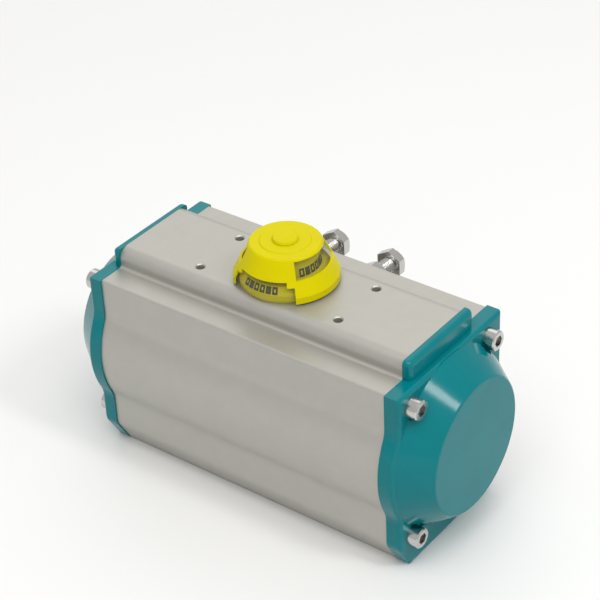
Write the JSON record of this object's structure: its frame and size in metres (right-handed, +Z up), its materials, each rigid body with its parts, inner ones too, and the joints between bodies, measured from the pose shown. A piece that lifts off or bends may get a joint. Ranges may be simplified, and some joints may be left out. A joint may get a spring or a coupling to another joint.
{
  "type": "rotary pneumatic actuator",
  "caption": "Double-acting rack-and-pinion quarter-turn actuator: extruded cylinder body, domed end caps, position indicator and travel stops.",
  "frame": {"origin": "on the drive axis, at the valve mounting face", "axes": "+X along the cylinder, +Y to the side with the air ports and stop bolts, +Z up the drive axis to the indicator"},
  "size_m": [0.209, 0.1098, 0.1315],
  "materials": {
    "anodised_housing": "satin, bead blasted and anodised",
    "coated_cap": "glossy powder coat",
    "stainless_fastener": "bright stainless",
    "steel_shaft": "ground and nickel plated",
    "cast_piston": "as cast, machined rack",
    "bearing_plastic": "natural acetal",
    "seal_rubber": "moulded nitrile",
    "indicator_yellow": "moulded, slight gloss",
    "indicator_clear": "clear moulding"
  },
  "bodies": {
    "housing": {"housing": "anodised_housing", "port_plate": "anodised_housing", "end_cap_right": "coated_cap", "end_cap_left": "coated_cap", "end_cap_seal_right": "seal_rubber", "end_cap_seal_left": "seal_rubber", "end_cap_screws_right": "stainless_fastener", "end_cap_screws_left": "stainless_fastener", "lower_bearing": "bearing_plastic", "upper_bearing": "bearing_plastic", "thrust_washer_plastic": "bearing_plastic", "stop_nut_right": "stainless_fastener", "stop_nut_left": "stainless_fastener", "stop_seal_right": "seal_rubber", "stop_seal_left": "seal_rubber", "indicator_drum": "indicator_yellow"},
    "shaft": {"drive_shaft": "steel_shaft", "stop_cam": "steel_shaft", "lower_shaft_seal": "seal_rubber", "upper_shaft_seal": "seal_rubber", "thrust_washer_steel": "steel_shaft", "retaining_ring": "steel_shaft", "indicator_cover": "indicator_clear", "indicator_mask": "indicator_yellow", "indicator_screw": "stainless_fastener", "indicator_knob": "indicator_yellow"},
    "piston_right": {"piston_right": "cast_piston", "piston_wear_band_right": "bearing_plastic", "piston_seal_right": "seal_rubber", "piston_guide_right": "bearing_plastic"},
    "piston_left": {"piston_left": "cast_piston", "piston_wear_band_left": "bearing_plastic", "piston_seal_left": "seal_rubber", "piston_guide_left": "bearing_plastic"},
    "stop_bolt_right": {"stop_bolt_right": "stainless_fastener"},
    "stop_bolt_left": {"stop_bolt_left": "stainless_fastener"}
  },
  "joints": [
    {"name": "shaft_turn", "type": "hinge", "parent": "housing", "child": "shaft", "pos_m": [0, 0, 0], "axis": [0, 0, 1], "range_deg": [0, 90]},
    {"name": "piston_right_slide", "type": "slide", "parent": "housing", "child": "piston_right", "axis": [1, 0, 0], "range_m": [0, 0.0236]},
    {"name": "piston_left_slide", "type": "slide", "parent": "housing", "child": "piston_left", "axis": [-1, 0, 0], "range_m": [0, 0.0236]},
    {"name": "stop_bolt_right_adjust", "type": "slide", "parent": "housing", "child": "stop_bolt_right", "axis": [0, 1, 0], "range_m": [0, 0.003]},
    {"name": "stop_bolt_left_adjust", "type": "slide", "parent": "housing", "child": "stop_bolt_left", "axis": [0, 1, 0], "range_m": [0, 0.003]}
  ],
  "couplings": [
    {"joint": "piston_right_slide", "follows": "shaft_turn", "m_per_rad": 0.015},
    {"joint": "piston_left_slide", "follows": "shaft_turn", "m_per_rad": 0.015}
  ]
}
